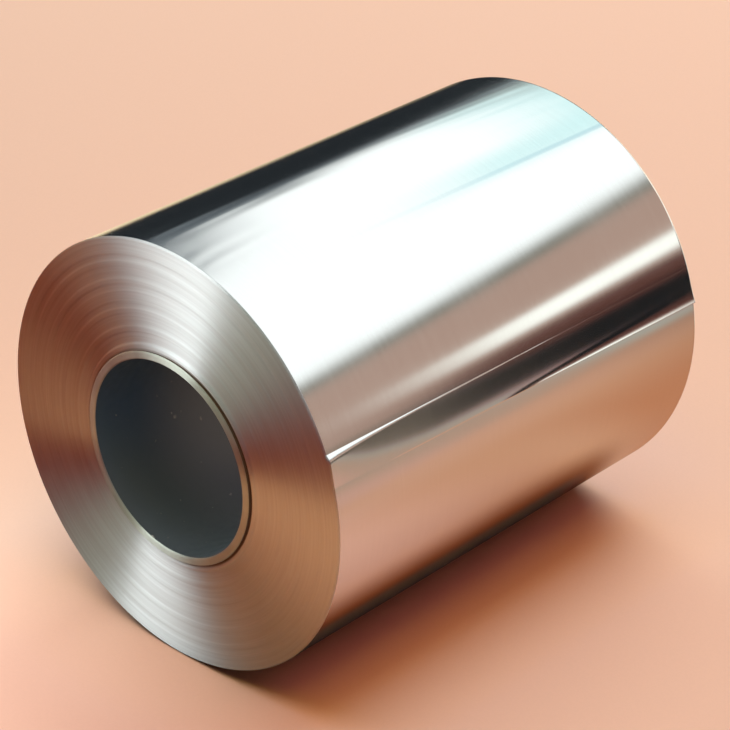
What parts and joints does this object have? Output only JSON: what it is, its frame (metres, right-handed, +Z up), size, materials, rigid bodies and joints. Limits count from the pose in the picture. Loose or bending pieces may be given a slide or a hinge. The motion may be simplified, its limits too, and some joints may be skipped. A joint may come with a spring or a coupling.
{
  "type": "roll of aluminium foil",
  "caption": "Wide sheet of bright aluminium foil wound tight into a thick roll on a thin-walled steel tube, which stands slightly proud of the wound ends.",
  "frame": {"origin": "on the floor, straight below the middle of the roll's axis", "axes": "+Y along the roll's axis, from the end that the picture shows to the hidden end; +X across the roll, to the right of that end as the picture shows it; +Z up"},
  "size_m": [0.166, 0.203, 0.166],
  "materials": {
    "foil": "bright rolled foil, mirror-like on the outside turn, with fine turned lines on the wound ends",
    "core": "drawn tube, dull inside, with a bright cut end"
  },
  "bodies": {
    "root": {"foil_roll": "foil", "core_tube": "core"}
  },
  "joints": []
}
